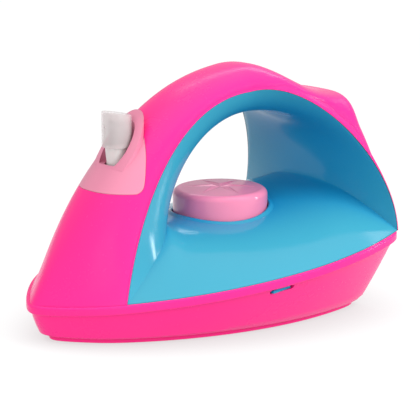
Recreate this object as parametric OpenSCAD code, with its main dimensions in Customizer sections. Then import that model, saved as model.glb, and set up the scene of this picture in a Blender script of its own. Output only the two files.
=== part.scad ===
/* [Body] */
// How far the nose of the shell reaches in front of the middle
nose_x = 95.8; // [90:0.1:100]
// How far behind the middle the arch meets the heel corner
heel_x = 98.6; // [96:0.1:101]
// How far the heel of the shell bulges behind its corners
heel_bulge = 2.4; // [1:0.1:4]
// Largest half width of the body at the rim
rim_half = 77; // [72:0.5:84]
// Half width of the body at the heel corners
heel_half = 66; // [60:0.5:70]
// Where the body is widest, behind the middle
rim_wide_x = 40; // [30:0.5:50]
// Height of the rim over the middle of the sole
rim_z = 31.8; // [30:0.1:34]
// How much higher the rim is at the heel than at the nose
rim_rise = 23.1; // [20:0.1:26]

/* [Arch edge] */
// How far in front of the middle the arch leaves the rim
foot_x = 65; // [60:0.1:70]
// Handle that bends the front of the arch edge near the rim, as back, out and up
edge_bend = [-46.7, 24, 59.6]; // [-60:0.1:130]
// Handle that bends the front of the arch edge near the grip
edge_rise = [-22.7, 20.6, 119.6]; // [-60:0.1:130]
// Arch edge at the grip
edge_top = [30.2, 22.3, 121.3]; // [-60:0.1:130]
// Handle that bends the rear of the arch edge near the grip
edge_fall = [66, 32.2, 128.7]; // [-60:0.1:130]
// Handle that bends the rear of the arch edge near the heel
edge_flare = [102.3, 60, 79.5]; // [-60:0.1:130]

/* [Ridge line] */
// Handle that bends the nose ridge, as back and up
ridge_bend = [-74.2, 58.9]; // [-90:0.1:140]
// Handle that bends the ridge into the grip
ridge_rise = [-35.9, 122.9]; // [-90:0.1:140]
// Top of the grip
ridge_top = [31, 133.2]; // [-90:0.1:140]
// Handle that bends the grip towards the heel
ridge_over = [58, 137.3]; // [-90:0.1:140]
// Handle that brings the grip down on the heel block
ridge_dip = [58, 118.5]; // [-90:0.1:140]
// Top of the heel block
block_top = [97.5, 114.5]; // [-90:0.1:140]
// Handle that rounds the top of the heel block
block_round = [101, 114.5]; // [-90:0.1:140]
// Handle that rounds the back of the heel block
block_back = [106, 76]; // [-90:0.1:140]

/* [Hand opening] */
// Front wall of the opening over the deck, as back and up
gap_front = [-19, 57]; // [-30:0.1:110]
// Handle that bends the front wall of the opening
gap_bend = [-14, 83]; // [-30:0.1:110]
// Handle that bends the front wall into the underside of the grip
gap_rise = [12, 107.3]; // [-30:0.1:110]
// Underside of the grip
gap_top = [41, 107.3]; // [-30:0.1:110]
// Handle that bends the underside towards the heel wall
gap_fall = [70, 107.3]; // [-30:0.1:110]
// Handle that bends the heel wall
gap_back = [91, 97]; // [-30:0.1:110]
// Foot of the heel wall over the deck
gap_heel = [88, 66]; // [-30:0.1:110]
// Handle that rounds the heel wall into the deck
deck_heel = [87.6, 59.4]; // [-30:0.1:110]
// Handle that rounds the deck into the front wall
deck_front = [-20, 47.5]; // [-30:0.1:110]

/* [Rim and sole] */
// How far the rim bead stands out of the shell
bead_out = 2; // [1.2:0.1:2.6]
// Height of the rim bead
bead_tall = 4.8; // [3.5:0.1:6]
// Length of the sole plate
sole_long = 171; // [165:0.5:176]
// Half width of the sole plate
sole_half = 55; // [50:0.5:58]
// Thickness of the sole plate
sole_thick = 2.4; // [1.8:0.1:3.2]
// Thickness of the tray floor
floor_thick = 2.4; // [1.8:0.1:3]
// Radius of the round lower corner of the tray
tray_round = 4.4; // [3:0.1:5]

/* [Dial] */
// Dial axis, behind the middle
dial_x = 27; // [24:0.5:30]
// Radius of the dial
dial_r = 26; // [22:0.1:27]
// Top of the dial
dial_top = 66.8; // [62:0.1:70]
// Radius of the rounded edge of the dial
dial_round = 3.6; // [2:0.1:4.5]
// Floor of the round pocket that holds the dial
pocket_z = 50.2; // [49.4:0.1:51]
// Number of rays of the star sunk in the dial
ray_count = 6; // [4:1:10]
// Depth of the star over the axis
ray_deep = 1.3; // [0.6:0.1:1.8]

/* [Spray head] */
// Spray axis, in front of the middle
spray_x = 42; // [40:0.1:44]
// Radius of the spray cap
cap_r = 7.9; // [7:0.1:8.4]
// Height of the spray cap at its front
cap_tall = 19.3; // [18:0.1:21]
// Lower edge of the spray cap
cap_low = 97; // [96:0.1:99]
// Travel of the spray cap
cap_travel = 4.5; // [3:0.1:5]
// Radius of the round well behind the spray cap
well_r = 9.4; // [9:0.1:10.4]
// Floor of the well
well_z = 88; // [86:0.1:90]
// Lower edge of the spray panel
panel_low = 75.5; // [72:0.1:78]
// Radius of the water bottle
bottle_r = 15; // [12:0.1:16]

/* [Thicknesses] */
// Wall of the shell at the arch edge
wall = 2.6; // [2.2:0.1:3]
// Wall of the deck
deck_thick = 2.2; // [1.8:0.1:2.6]
// Gap between two seated pieces
seat = 0.1; // [0.05:0.01:0.15]
// Gap between a turning or sliding pin and its bore
run_fit = 0.05; // [0.02:0.01:0.1]
// Gap between a moving piece and what it passes
pass_gap = 0.3; // [0.3:0.05:0.6]

/* [Hidden] */
$fn = 64;
// Facets of the round features that are part of a free form
few = 24;

hot_pink = [1, 0.23, 0.6];
light_pink = [0.94, 0.6, 0.72];
sky_blue = [0.29, 0.7, 0.82];
clear_grey = [0.85, 0.8, 0.8, 0.6];
soft_white = [0.93, 0.93, 0.91];
steel = [0.72, 0.73, 0.75];
rubber_grey = [0.45, 0.46, 0.48];

// One overrun serves every cut
over = 1;
body_length = nose_x + heel_x;

// Curves
function mix(a, b, t) = a + (b - a) * t;
function clamp01(t) = min(1, max(0, t));
function ease(t, a, b) = let (s = clamp01((t - a) / (b - a))) s * s * (3 - 2 * s);
function unit(v) = v / norm(v);
function bez(p, t) = let (s = 1 - t)
    s * s * s * p[0] + 3 * s * s * t * p[1] + 3 * s * t * t * p[2] + t * t * t * p[3];

// Rim plane and outline of the sides
function rim_level(x) = rim_z + rim_rise * x / body_length;
side_power_share = 1.9;
side_root_share = 0.685;
function rim_half_at(x) = let (
        u = clamp01((rim_wide_x - x) / (rim_wide_x + nose_x)),
        v = (x - rim_wide_x) / (heel_x - rim_wide_x))
    x < rim_wide_x ? rim_half * pow(1 - pow(u, side_power_share), side_root_share)
    : rim_half - (rim_half - heel_half) * v * v;

// Arch edge and ridge, both walked from 0 at the nose over 1 at the grip to 2 at the heel
edge_low = [-foot_x, rim_half_at(-foot_x), rim_level(-foot_x)];
edge_heel = [heel_x, heel_half, rim_level(heel_x)];
ridge_low = [-nose_x, rim_level(-nose_x)];
block_low = [heel_x + heel_bulge, rim_level(heel_x + heel_bulge)];
edge_f = [edge_low, edge_bend, edge_rise, edge_top];
edge_r = [edge_top, edge_fall, edge_flare, edge_heel];
ridge_f = [ridge_low, ridge_bend, ridge_rise, ridge_top];
ridge_m = [ridge_top, ridge_over, ridge_dip, block_top];
ridge_h = [block_top, block_round, block_back, block_low];
block_share = 0.42;
function edge(a) = a < 1 ? bez(edge_f, a) : bez(edge_r, a - 1);
function ridge(a) = a < 1 ? bez(ridge_f, a)
    : a - 1 < block_share ? bez(ridge_m, (a - 1) / block_share)
    : bez(ridge_h, (a - 1 - block_share) / (1 - block_share));

// Shape of a section of the shell: a straight side face, a step and a round back
nose_power_share = 1.16;
grip_power_share = 2.06;
block_out_share = 2.74;
block_back_share = 1.6;
face_tall = 8.5;
face_min = 0.9;
face_long_share = 0.3;
face_lean_share = 0.5;
step_in = 5.3;
step_min = 0.15;
ridge_soft = 2.2;
arc_steps = 9;
thin_share = 0.4;
// Where along the arch the side face, the step and the round back of a section begin and end
face_on_share = [1, 1.24];
face_off_share = [1.27, 1.52];
step_on_share = [1.24, 1.42];
step_off_share = [1.75, 2];
grip_on_share = [0, 0.52];
block_on_share = [1.1, 1.42];
function walked(a, span) = ease(a, span[0], span[1]);
function face_h(a) = face_min
    + (face_tall - face_min) * walked(a, face_on_share) * (1 - walked(a, face_off_share));
function step_w(a) = step_min + step_in * walked(a, step_on_share) * (1 - walked(a, step_off_share));
function front_power(a) = mix(nose_power_share, grip_power_share, walked(a, grip_on_share));
function power_out(a) = mix(front_power(a), block_out_share, walked(a, block_on_share));
function power_back(a) = mix(front_power(a), block_back_share, walked(a, block_on_share));
function arc_reach(w, long, a) = w - face_lean_share * min(face_h(a), face_long_share * long) - step_w(a);

// Round back of a half section as [out, along] pairs, from the step to the ridge
function back_arc(reach, foot, long, a) = let (k = norm([reach, ridge_soft]) - ridge_soft)
    [for (j = [0:arc_steps]) let (
        c = pow(cos(90 * j / arc_steps), 2 / power_out(a)),
        s = pow(sin(90 * j / arc_steps), 2 / power_back(a)),
        y = sqrt(max(0, pow(c * k + ridge_soft, 2) - ridge_soft * ridge_soft)))
    [y, foot + (long - foot) * s]];

// Half section of the shell from the arch edge to the ridge, or one that lies deeper inside it
function inner_long(long, deep) = max(long - deep, thin_share * long);
function half_section(w, long, a, deep = 0) = let (
        h = min(face_h(a), face_long_share * long),
        low = deep == 0 ? h : max(h - deep, face_long_share * h),
        reach = arc_reach(w, long, a) - deep)
    concat([[w - deep, 0], [w - deep - face_lean_share * low, low]],
        back_arc(reach, low, inner_long(long, deep), a));

// Puts [out, along] pairs of one side in place, along being measured from the arch edge to the ridge
function place(pairs, a, side) = let (
        e = edge(a),
        u = unit(ridge(a) - [e[0], e[2]]))
    [for (p = pairs) [e[0] + u[0] * (p[1] + seat), side * p[0], e[2] + u[1] * (p[1] + seat)]];
function section_long(a) = let (e = edge(a)) norm(ridge(a) - [e[0], e[2]]);
function backwards(list) = [for (i = [len(list) - 1:-1:0]) list[i]];
function both_sides(half, a) = concat(place(half, a, -1), place([for (i = [len(half) - 2:-1:0]) half[i]], a, 1));

// Closed sections: the shell with its wall, and the full form under its outer skin
function shell_section(a) = let (long = section_long(a), w = edge(a)[1])
    concat(both_sides(half_section(w, long, a), a),
        backwards(both_sides(half_section(w, long, a, wall), a)));
function full_section(a, deep) = both_sides(half_section(edge(a)[1], section_long(a), a, deep), a);

// Triangles that close a section, laid between its two ends step by step
function closing(n) = [for (j = [0:floor(n / 2) - 1]) let (k = n - 1 - j)
    each concat(k - j > 1 ? [[j, j + 1, k]] : [], k - j > 2 ? [[j + 1, k - 1, k]] : [])];

// Skin over a row of equal closed sections, an open row is closed at both ends
module skin(rows, ring = false) {
    n = len(rows[0]);
    m = len(rows);
    sides = [for (i = [0:(ring ? m - 1 : m - 2)]) for (j = [0:n - 1]) let (
        k = (i + 1) % m,
        l = (j + 1) % n)
        each [[i * n + j, i * n + l, k * n + l], [i * n + j, k * n + l, k * n + j]]];
    lid = closing(n);
    ends = ring ? [] : concat([for (t = lid) backwards(t)], [for (t = lid) [for (v = t) v + (m - 1) * n]]);
    polyhedron([for (r = rows) each r], concat(sides, ends), convexity = 10);
}

arch_rows = 17;
arch_steps = 2 * arch_rows;
module cover_wall() {
    skin([for (i = [0:arch_steps]) shell_section(2 * i / arch_steps)]);
}
module cover_form(deep = 0) {
    skin([for (i = [0:arch_steps]) full_section(2 * i / arch_steps, deep)]);
}

// Middle line of the hand opening, walked from 0 at the front over the grip and the heel wall to 3
gap_f = [gap_front, gap_bend, gap_rise, gap_top];
gap_r = [gap_top, gap_fall, gap_back, gap_heel];
gap_d = [gap_heel, deck_heel, deck_front, gap_front];
function gap(s) = s < 1 ? bez(gap_f, s) : s < 2 ? bez(gap_r, s - 1) : bez(gap_d, s - 2);
function deck_edge(f) = let (x = mix(heel_x, -foot_x, f)) [x, rim_half_at(x), rim_level(x)];
function body_edge(s) = s < 2 ? edge(s) : deck_edge(s - 2);

// Shape of a section of the blue body, from its edge to the middle line
lip_power_share = 3;
heel_power_share = 2;
deck_power_share = 2.4;
body_arcs = 8;
body_pack_share = 1.5;
walk_share = 0.01;
heel_on_share = [1.3, 2];
heel_off_share = [2, 2.3];
front_on_share = [2.85, 3];
function flare_power(s) = s < 2 ? mix(lip_power_share, heel_power_share, walked(s, heel_on_share))
    : mix(mix(heel_power_share, deck_power_share, walked(s, heel_off_share)),
        lip_power_share, walked(s, front_on_share));
function body_half(e, m, w, s, side) = [for (j = [0:body_arcs]) let (
        y = w * (1 - pow(j / body_arcs, body_pack_share)),
        d = 1 - pow(y / w, flare_power(s)))
    [mix(e[0], m[0], d), side * y, mix(e[2], m[1], d)]];
function body_both(e, m, w, s) = concat(body_half(e, m, w, s, -1),
    [for (i = [body_arcs - 1:-1:0]) body_half(e, m, w, s, 1)[i]]);
function body_section(s) = let (
        e = body_edge(s),
        m = gap(s),
        t = unit(gap((s + walk_share) % 3) - gap((s - walk_share + 3) % 3)))
    concat(backwards(body_both(e, m, e[1], s)),
        body_both(e, m + deck_thick * [-t[1], t[0]], e[1] - wall, s));
deck_rows = 20;
body_stops = concat([for (i = [0:2 * arch_rows - 1]) i / arch_rows],
    [for (i = [0:deck_rows - 1]) 2 + i / deck_rows]);
module body_wall() {
    skin([for (s = body_stops) body_section(s)], true);
}

// Rim outline of one side from the nose to the heel, and the same outline all the way round
side_stops = 16;
corner_skip = 4;
function thinned(list) = [for (i = [0:len(list) - 1]) if (i == 0 || i >= corner_skip) list[i]];
nose_half = backwards(thinned(place(half_section(edge_low[1], section_long(0), 0), 0, -1)));
heel_line = thinned(place(half_section(heel_half, section_long(2), 2), 2, -1));
rim_side = concat(
    [for (p = nose_half) [p[0], p[1]]],
    [for (i = [1:side_stops - 1]) let (e = deck_edge(1 - i / side_stops)) [e[0], -e[1]]],
    [for (p = heel_line) [p[0], p[1]]]);
rim_loop = concat(rim_side, [for (i = [len(rim_side) - 2:-1:1]) [rim_side[i][0], -rim_side[i][1]]]);
loop_size = len(rim_loop);
function eased(loop) = let (n = len(loop))
    [for (i = [0:n - 1]) (loop[(i + n - 1) % n] + 2 * loop[i] + loop[(i + 1) % n]) / 4];
tray_loop = eased(eased(rim_loop));
sole_back = 1.5;
sole_loop = [for (p = tray_loop) [p[0] * sole_long / body_length - sole_back, p[1] * sole_half / rim_half]];
function out_dir(loop, i) = let (
        n = len(loop),
        t = unit(loop[(i + 1) % n] - loop[(i + n - 1) % n]))
    [t[1], -t[0]];
function grown(loop, by) = [for (i = [0:len(loop) - 1]) loop[i] + by * out_dir(loop, i)];

// Tray rings, low ones round the sole and high ones along the rim
tray_z = sole_thick + seat;
floor_top = tray_z + floor_thick;
low_loop = grown(sole_loop, tray_round);
function flat_ring(by, z) = [for (p = grown(low_loop, by)) [p[0], p[1], z]];
function wall_ring(f, by) = [for (i = [0:loop_size - 1]) let (
        p = mix(low_loop[i], tray_loop[i], f) + by * out_dir(tray_loop, i),
        top = rim_level(tray_loop[i][0]) - bead_tall)
    [p[0], p[1], mix(tray_z, top, f)]];
function rim_ring(by, down) = [for (i = [0:loop_size - 1]) let (p = tray_loop[i] + by * out_dir(tray_loop, i))
    [p[0], p[1], rim_level(tray_loop[i][0]) - down]];
tray_wall = 2.4;
bead_round = 0.8;
rim_gap = 0.2;
// Round lower corner as [out, up] shares of its radius, and the belly of the wall
corner_share = [[-1, 0], [-0.35, 0.1], [-0.05, 0.4]];
belly_share = [0.25, 0.6];
belly_out = [0.4, 0.3];
tray_rows = backwards([
    for (c = corner_share) flat_ring(tray_round * c[0], tray_z + tray_round * c[1]),
    for (i = [0, 1]) wall_ring(belly_share[i], belly_out[i]),
    wall_ring(1, 0),
    rim_ring(bead_out - bead_round / 2, bead_tall),
    rim_ring(bead_out, bead_tall - bead_round),
    rim_ring(bead_out, bead_round),
    rim_ring(bead_out - bead_round / 2, rim_gap + bead_round / 4),
    rim_ring(bead_out - 2 * bead_round, rim_gap),
    rim_ring(-wall, rim_gap),
    wall_ring(1, -tray_wall),
    for (i = [1, 0]) wall_ring(belly_share[i], belly_out[i] - tray_wall),
    flat_ring(-tray_wall, floor_top)]);

// Case screws, one pair under the front of the dial, one pair behind it and one in the nose
post_y = 36.7;
post_front = 2.4;
post_rear = 63.3;
nose_post = 74;
post_r = 3.6;
pilot_r = 1.3;
screw_r = 1.2;
screw_gap = 0.3;
head_r = 3;
head_tall = 1.7;
head_gap = 0.4;
boss_wall = 0.2;
boss_top = 12;
screw_top = 22;
rib_thick = 1.6;
deck_spots = [for (x = [post_front, post_rear]) for (s = [1, -1]) [x, s * post_y]];
screw_spots = concat(deck_spots, [[-nose_post, 0]]);

// Catch slots in the sides of the tray and the tabs behind them
catch_x = 10.3;
catch_long = 13.4;
catch_tall = 1.6;
catch_drop = 1;
catch_cut = 15;
catch_gap = 0.2;
rim_slope = rim_rise / body_length;

module at_spots(list) {
    for (p = list) translate(p) children();
}
module both() {
    for (s = [1, -1]) scale([1, s, 1]) children();
}

// Solid under the top face of the deck
module deck_form() {
    skin([for (i = [0:deck_rows]) let (s = 2 + i / deck_rows, e = body_edge(s), m = gap(s % 3))
        concat(backwards(body_both(e, m, e[1], s)), [[e[0], -e[1], tray_z], [e[0], e[1], tray_z]])]);
}

// Flat sole under the tray
module sole_plate() color(light_pink) difference() {
    linear_extrude(sole_thick) polygon(sole_loop);
    at_spots(screw_spots) translate([0, 0, -over]) cylinder(r = head_r + head_gap, h = sole_thick + 2 * over);
}

catch_low = rim_level(catch_x) - bead_tall - catch_drop - catch_tall;
module catch_box(long, tall, from_y, to_y) {
    reach = (long - tall) / 2;
    mid = catch_low + catch_tall / 2;
    hull() for (s = [-1, 1]) translate([catch_x + s * reach, from_y, mid + s * reach * rim_slope])
        rotate([-90, 0, 0]) cylinder(d = tall, h = to_y - from_y, $fn = few / 2);
}

// Tray with its rim bead, screw bosses, floor ribs and side slots
rib_tall = 6;
module floor_rib(p, q) {
    hull() for (k = [p, q]) translate([k[0], k[1], floor_top - seat])
        cylinder(d = rib_thick, h = rib_tall, $fn = few / 2);
}
module base_tray() color(hot_pink) difference() {
    union() {
        skin(tray_rows);
        at_spots(screw_spots) translate([0, 0, floor_top - seat])
            cylinder(r = post_r + boss_wall, h = boss_top - floor_top + seat, $fn = few);
        for (s = [1, -1]) {
            floor_rib([post_front, s * post_y], [post_rear, s * post_y]);
            floor_rib([post_front, 0], [post_front, s * post_y]);
            floor_rib([post_rear, 0], [post_rear, s * post_y]);
        }
        floor_rib([post_front, 0], [post_rear, 0]);
        floor_rib([-nose_post + bottle_r, 0], [-nose_post, 0]);
    }
    at_spots(screw_spots) cylinder(r = screw_r + screw_gap, h = boss_top + over, $fn = few);
    both() catch_box(catch_long, catch_tall, rim_half - catch_cut, rim_half + bead_tall);
}

// Blue body: deck, heel wall and the inner face of the grip, with the dial pocket
pocket_gap = 0.6;
cup_wall = 1.8;
lip_tall = 0.9;
lip_round = 0.5;
cup_low = pocket_z - deck_thick;
tube_r = 7;
cup_steps = 48;
deck_mid_rise = 20.5;
deck_fall_share = 2.4;
function deck_z(x, y) = rim_level(x) + deck_mid_rise * (1 - pow(abs(y) / rim_half_at(x), deck_fall_share));
function cup_ring(i) = let (
        c = [cos(360 * i / cup_steps), sin(360 * i / cup_steps)],
        r = dial_r + pocket_gap,
        top = deck_z(dial_x + r * c[0], r * c[1]) + lip_tall,
        pairs = [[tube_r + seat, cup_low], [tube_r + seat, pocket_z], [r, pocket_z],
            [r, top - lip_round], [r + lip_round, top],
            [r + cup_wall - lip_round, top], [r + cup_wall, top - lip_round], [r + cup_wall, cup_low]])
    [for (p = pairs) [dial_x + p[0] * c[0], p[0] * c[1], p[1]]];
tab_thick = 1.6;
tab_long = 12.4;
tab_deep = 10;
tab_gap = 0.9;
module side_tab() {
    w = rim_half_at(catch_x) - wall - tab_gap;
    lean = tab_deep * (rim_half - sole_half) / rim_z;
    hull() {
        translate([catch_x - tab_long / 2, w - tab_thick, rim_level(catch_x) + seat])
            cube([tab_long, tab_thick, tab_thick]);
        translate([catch_x - tab_long / 2, w - tab_thick - lean, rim_level(catch_x) - tab_deep])
            cube([tab_long, tab_thick, tab_thick]);
    }
    catch_box(tab_long, catch_tall - 2 * catch_gap, w - lean, w + tab_gap);
}
module deck_insert() color(sky_blue) {
    difference() {
        union() {
            body_wall();
            intersection() {
                translate([0, 0, -deck_thick / 2]) deck_form();
                union() {
                    at_spots(deck_spots) translate([0, 0, boss_top + seat]) post_shape();
                    both() side_tab();
                }
            }
        }
        translate([dial_x, 0, cup_low - over])
            cylinder(r = dial_r + pocket_gap + cup_wall / 2, h = dial_top - cup_low, $fn = cup_steps);
        at_spots(deck_spots) cylinder(r = pilot_r, h = screw_top + over, $fn = few);
    }
    skin([for (i = [cup_steps - 1:-1:0]) cup_ring(i)], true);
}
fin_out = 5.6;
fin_low = 20;
post_tall = 60;
module post_shape() {
    cylinder(r = post_r, h = post_tall, $fn = few);
    for (t = [0:90:270]) hull() for (s = [0, fin_out / 2]) rotate([0, 0, t])
        translate([s, -rib_thick / 2, fin_low + s]) cube([s + rib_thick / 2, rib_thick, post_tall - 2 * s]);
}

// Side view of the spray panel: its seam as [back, up] shares from the low front corner to the ridge
panel_front = 47;
panel_back = 20;
panel_high = 39.5;
seam_share = [[0, 0], [0.11, 0.028], [0.19, 0.086], [0.255, 0.22], [0.335, 0.37], [0.435, 0.535], [0.52, 0.645],
    [0.61, 0.745], [0.69, 0.81], [0.81, 0.885], [1, 1]];
panel_out = 20;
panel_top = panel_low + panel_high + panel_out;
panel_seam = [for (p = seam_share) [mix(-panel_front, -panel_back, p[0]), panel_low + panel_high * p[1]]];
module panel_window(by) {
    rotate([90, 0, 0]) linear_extrude(2 * rim_half, center = true) polygon(concat(
        [[-nose_x - panel_out, panel_low + by]],
        [for (p = panel_seam) p + [-by, by]],
        [[-panel_back - by, panel_top], [-nose_x - panel_out, panel_top]]));
}
well_wall = 1.5;
well_top = 60;
neck_r = 6.3;
hood_r = 14.2;
hood_lean = 10;
module well_form(r) {
    intersection() {
        raised_form();
        translate([-spray_x, 0, well_z - well_wall]) cylinder(r = r, h = well_top);
    }
}
// The outer form tipped up behind the front of the well, which raises the hood behind the cap
module raised_form() {
    front = -spray_x - well_r;
    translate([front, 0, well_z]) rotate([0, -hood_lean, 0]) translate([-front, 0, -well_z]) cover_form();
}

// Back view of the heel panel
heel_panel_half = 38;
heel_panel_low = 48.5;
heel_panel_high = 95.5;
heel_panel_round = 10;
heel_panel_deep = 12;
module heel_window(by) {
    wide = 2 * (heel_panel_half - by);
    high = heel_panel_high - heel_panel_low - 2 * by;
    translate([heel_x - heel_panel_deep / 2, 0, 0]) rotate([90, 0, 90])
        linear_extrude(heel_panel_deep + heel_bulge + over)
        translate([-heel_panel_half + by, heel_panel_low + by]) round_box(wide, high, heel_panel_round - by);
}
module round_box(w, h, r) {
    for (x = [r, w - r]) for (y = [r, h - r]) translate([x, y]) circle(r);
    translate([r, 0]) square([w - 2 * r, h]);
    translate([0, r]) square([w, h - 2 * r]);
}

// Hot pink shell over the nose, the grip and the heel block
rib_deep = 2.4;
rib_lift = 1.5;
function rib_half(a, deep) = let (half = half_section(edge(a)[1], section_long(a), a, deep))
    [for (p = half) [p[0], max(p[1], rib_lift)]];
module rib_slice(a) {
    e = edge(a);
    u = unit(ridge(a) - [e[0], e[2]]);
    slice = concat(both_sides(rib_half(a, wall / 2), a), backwards(both_sides(rib_half(a, wall + rib_deep), a)));
    skin([for (k = [rib_thick, 0]) [for (p = slice) p + k * [-u[1], 0, u[0]]]]);
}
// Cross webs in the nose and in the heel block, as back, lower edge and upper edge
web_spots = [[-64.5, 30, 66], [-86, 26, 40], [82, 104, 118], [92, 102, 116]];
module cross_web(p) {
    hull() for (s = [-1, 1]) translate([p[0], s * heel_half, p[1]])
        cylinder(d = rib_thick, h = p[2] - p[1], $fn = few / 2);
}
rib_stops_share = [0.52, 0.68, 0.84, 1.32];
module cover_shell() color(hot_pink) difference() {
    union() {
        cover_wall();
        intersection() {
            cover_form(wall / 2);
            union() {
                translate([-nose_post, 0, boss_top + seat]) post_shape();
                for (p = web_spots) cross_web(p);
            }
        }
        translate([-nose_post, 0, boss_top + seat]) cylinder(r = post_r, h = fin_low, $fn = few);
        for (a = rib_stops_share) rib_slice(a);
    }
    panel_window(0);
    heel_window(0);
    translate([-spray_x, 0, well_z - well_wall - pass_gap])
        cylinder(r = well_r + well_wall + pass_gap, h = well_top);
    translate([-nose_post, 0, 0]) cylinder(r = pilot_r, h = screw_top + over, $fn = few);
}

// Light pink spray panel with its round well and the hood behind the cap
panel_gap = 0.15;
module hood_shape() {
    difference() {
        well_form(hood_r);
        cover_form(wall / 2);
    }
}
module nozzle_panel() color(light_pink) difference() {
    union() {
        intersection() {
            union() {
                cover_wall();
                hood_shape();
            }
            panel_window(panel_gap);
        }
        well_form(well_r + well_wall);
    }
    translate([-spray_x, 0, well_z]) cylinder(r = well_r, h = well_top);
    translate([-spray_x, 0, 0]) cylinder(r = neck_r + pass_gap, h = well_z + over);
}

// Light pink panel let into the back of the heel block
module heel_panel() color(light_pink) intersection() {
    cover_wall();
    heel_window(panel_gap);
}

// Dial, hollow underneath, on its spindle
dial_gap = 0.6;
dial_skin = 2.4;
dial_low = pocket_z + dial_gap;
spindle_r = 4;
spindle_low = 35.3;
hub_r = 7;
ray_long = 20.5;
ray_half = 3.2;
ray_turn = 22;
ray_hub = 1.4;
hub_drop = 0.2;
// One ray of the sunk star: a V that is deepest over the axis and runs out at its tip
module star_ray() {
    wide = ray_half * (ray_deep + over) / ray_deep;
    translate([0, 0, dial_top]) rotate([0, -atan(ray_deep / ray_long), 0])
        rotate([90, 0, 90]) linear_extrude(ray_long + over)
        polygon([[0, -ray_deep], [wide, over], [-wide, over]]);
}
module dial_knob() color(light_pink) translate([dial_x, 0, 0]) difference() {
    rotate_extrude() {
        difference() {
            union() {
                translate([0, dial_low]) square([dial_r, dial_top - dial_round - dial_low]);
                translate([0, dial_low]) square([dial_r - dial_round, dial_top - dial_low]);
                translate([dial_r - dial_round, dial_top - dial_round]) circle(dial_round);
            }
            translate([hub_r, dial_low - over])
                square([dial_r - dial_skin - hub_r, dial_top - dial_skin - dial_low + over]);
            translate([-dial_r, dial_low - over]) square([dial_r, dial_top]);
        }
        translate([0, pocket_z + pass_gap]) square([hub_r, dial_top - dial_skin - pocket_z]);
        translate([0, spindle_low]) square([spindle_r, pocket_z - spindle_low + over]);
    }
    for (i = [0:ray_count - 1]) rotate([0, 0, ray_turn + 360 * i / ray_count]) star_ray();
    translate([0, 0, dial_top - ray_deep - hub_drop]) cylinder(r = ray_hub, h = dial_skin + over);
    translate([0, 0, spindle_low - over]) cylinder(r = pin_pilot, h = pin_deep + over);
}
pin_pilot = 1.45;
pin_deep = 11;

// Fixed bushing under the pocket that carries the spindle
bush_low = 39;
flange_r = 15;
flange_low = 46;
module dial_bushing() color(soft_white) translate([dial_x, 0, 0]) rotate_extrude() {
    translate([spindle_r + run_fit, bush_low]) square([tube_r - spindle_r - run_fit, pocket_z - bush_low]);
    translate([tube_r - seat, flange_low]) square([flange_r - tube_r + seat, cup_low - seat - flange_low]);
}

// Notched wheel on the spindle
wheel_r = 9.5;
wheel_low = spindle_low + seat;
wheel_tall = bush_low - pass_gap - seat - wheel_low;
notch_count = 12;
notch_r = 1.1;
module detent_wheel() color(soft_white) translate([dial_x, 0, wheel_low]) difference() {
    cylinder(r = wheel_r, h = wheel_tall);
    translate([0, 0, -over]) cylinder(r = spindle_r + run_fit, h = wheel_tall + 2 * over);
    for (i = [0:notch_count - 1]) rotate([0, 0, 360 * i / notch_count]) translate([wheel_r, 0, -over])
        cylinder(r = notch_r, h = wheel_tall + 2 * over);
}

// Leaf that clicks in the notches, hung under the flange
leaf_thick = 1;
leaf_half = 10;
leg_wide = 3;
module click_spring() color(steel) translate([dial_x, wheel_r + pass_gap, wheel_low]) {
    translate([-leaf_half, 0, 0]) cube([2 * leaf_half, leaf_thick, wheel_tall]);
    for (s = [0, 1]) translate([-leaf_half + s * (2 * leaf_half - leg_wide), 0, 0])
        cube([leg_wide, leaf_thick, flange_low - seat - wheel_low]);
}

// Washer and screw that hold the wheel on the spindle
washer_r = 8;
washer_tall = 1.1;
pin_screw_r = 1.4;
pin_head_r = 3;
pin_head_tall = 2.2;
slot_wide = 0.8;
slot_share = 0.7;
module cross_slot(r, deep) {
    for (t = [0, 90]) rotate([0, 0, t]) translate([-slot_share * r, -slot_wide / 2, -over])
        cube([2 * slot_share * r, slot_wide, over + deep]);
}
washer_low = wheel_low - seat - washer_tall;
module dial_washer() color(steel) translate([dial_x, 0, washer_low]) difference() {
    cylinder(r = washer_r, h = washer_tall);
    translate([0, 0, -over]) cylinder(r = pin_pilot + seat, h = washer_tall + 2 * over);
}
module dial_screw() color(steel) translate([dial_x, 0, washer_low - seat]) difference() {
    union() {
        translate([0, 0, -pin_head_tall]) cylinder(r = pin_head_r, h = pin_head_tall);
        translate([0, 0, -seat]) cylinder(r = pin_screw_r, h = pin_deep);
    }
    translate([0, 0, -pin_head_tall]) cross_slot(pin_head_r, pin_head_tall / 2);
}

// Spray cap, a clear cup over the pump neck that is pushed down
cap_wall = 1;
cap_slope = 10;
stem_r = 1.6;
socket_r = 3.2;
socket_low = 109.5;
spring_high = 111.4;
spring_seat_r = 5.2;
cap_top = cap_low + cap_tall;
outlet_r = 0.7;
outlet_z = 108;
module slant_cup(r, low, high) {
    difference() {
        translate([0, 0, low]) cylinder(r = r, h = high - low);
        translate([-cap_r, -2 * cap_r, high]) rotate([0, cap_slope, 0]) cube([4 * cap_r, 4 * cap_r, 4 * cap_r]);
    }
}
module spray_cap() color(clear_grey) translate([-spray_x, 0, 0]) difference() {
    slant_cup(cap_r, cap_low, cap_top);
    difference() {
        slant_cup(cap_r - cap_wall, cap_low - over, cap_top - cap_wall);
        translate([0, 0, socket_low]) cylinder(r = socket_r, h = cap_tall);
        translate([0, 0, spring_high]) cylinder(r = spring_seat_r, h = cap_tall);
    }
    translate([0, 0, socket_low - over]) cylinder(r = stem_r, h = stem_in + over);
    translate([0, 0, outlet_z]) rotate([0, -90, 0]) cylinder(r = outlet_r, h = cap_r + over);
}
stem_in = 3;

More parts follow.
